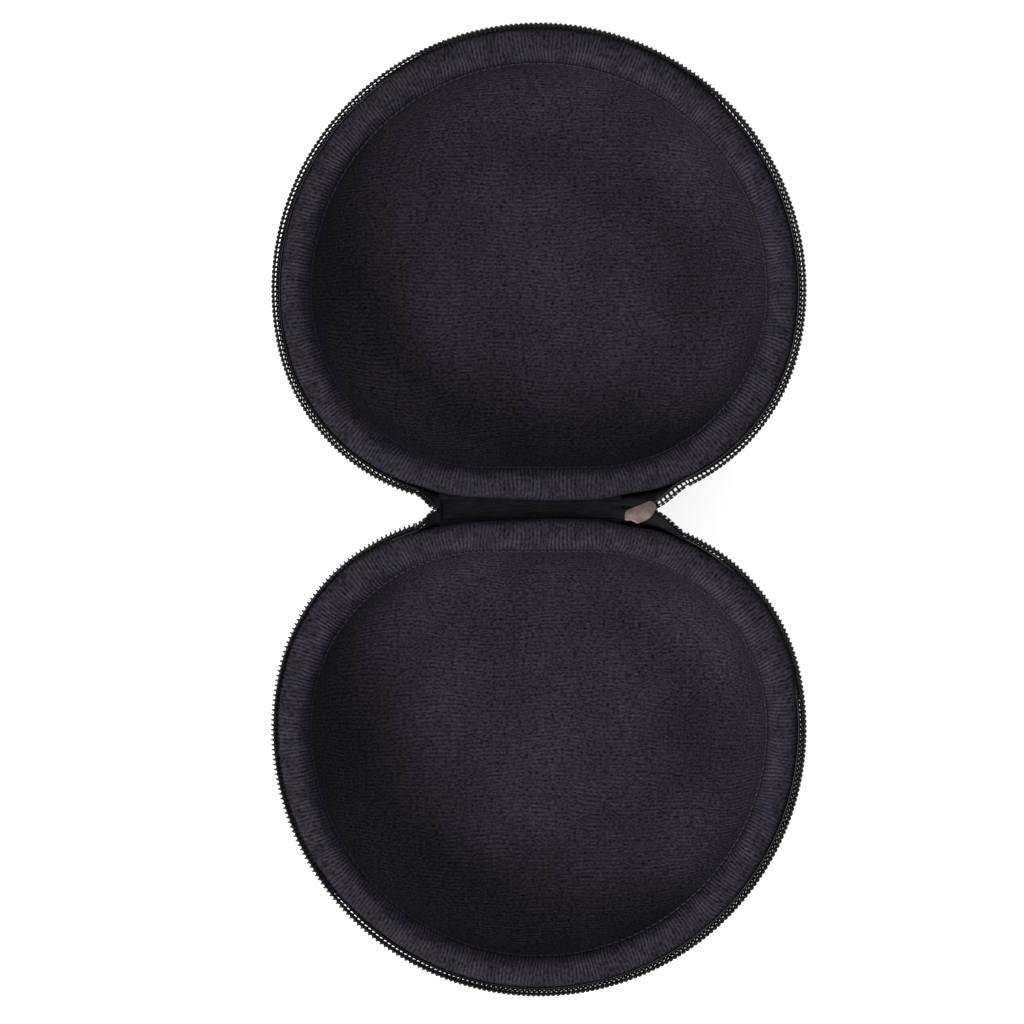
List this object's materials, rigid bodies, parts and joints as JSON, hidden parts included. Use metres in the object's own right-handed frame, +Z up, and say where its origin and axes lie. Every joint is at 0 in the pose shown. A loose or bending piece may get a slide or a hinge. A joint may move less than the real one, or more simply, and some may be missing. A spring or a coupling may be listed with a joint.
{
  "type": "headphone carrying case",
  "caption": "Round-fronted moulded carrying case for folded headphones, lying open: two lined domed halves on a fabric hinge, with a coil zipper round the rims.",
  "frame": {"origin": "on the floor under the middle of the hinge, with the case lying open and flat", "axes": "+Y towards the lid, +X along the hinge towards the zipper slider, +Z up out of the open bowls"},
  "size_m": [0.1606, 0.293, 0.0349],
  "materials": {
    "cover_cloth": "matte",
    "foam": "matte",
    "knit_lining": "matte",
    "rib_binding": "matte",
    "thread": "matte",
    "woven_tape": "matte",
    "hinge_cloth": "matte",
    "nylon_coil": "satin",
    "gunmetal": "satin"
  },
  "bodies": {
    "base": {"base_outer_cover": "cover_cloth", "base_foam_shell": "foam", "base_lining": "knit_lining", "base_rim_binding": "rib_binding", "base_binding_seam": "thread", "base_zipper_coil": "nylon_coil", "base_zipper_tape": "woven_tape", "base_tape_seam": "thread"},
    "spine": {"hinge_inner_strip": "hinge_cloth", "hinge_outer_strip": "hinge_cloth", "zipper_chain_end": "nylon_coil"},
    "lid": {"lid_outer_cover": "cover_cloth", "lid_foam_shell": "foam", "lid_lining": "knit_lining", "lid_rim_binding": "rib_binding", "lid_binding_seam": "thread", "lid_zipper_coil": "nylon_coil", "lid_zipper_tape": "woven_tape", "lid_tape_seam": "thread"},
    "slider": {"slider_body": "gunmetal", "slider_bail": "gunmetal"},
    "pull": {"pull_tab": "gunmetal"}
  },
  "joints": [
    {"name": "spine_fold", "type": "hinge", "parent": "base", "child": "spine", "pos_m": [0, -0.00375, 0.03125], "axis": [1, 0, 0], "range_deg": [0, 90]},
    {"name": "lid_fold", "type": "hinge", "parent": "spine", "child": "lid", "pos_m": [0, 0.00375, 0.03125], "axis": [1, 0, 0], "range_deg": [0, 90]},
    {"name": "slider_travel", "type": "hinge", "parent": "spine", "child": "slider", "pos_m": [0.02, 0, 0.0892], "axis": [0, -1, 0], "range_deg": [0, 8]},
    {"name": "pull_swing", "type": "hinge", "parent": "slider", "child": "pull", "pos_m": [0.031, 0, 0.02727], "axis": [0, 1, 0], "range_deg": [-90, 75]}
  ],
  "couplings": [
    {"joint": "lid_fold", "follows": "spine_fold", "ratio": 1}
  ]
}
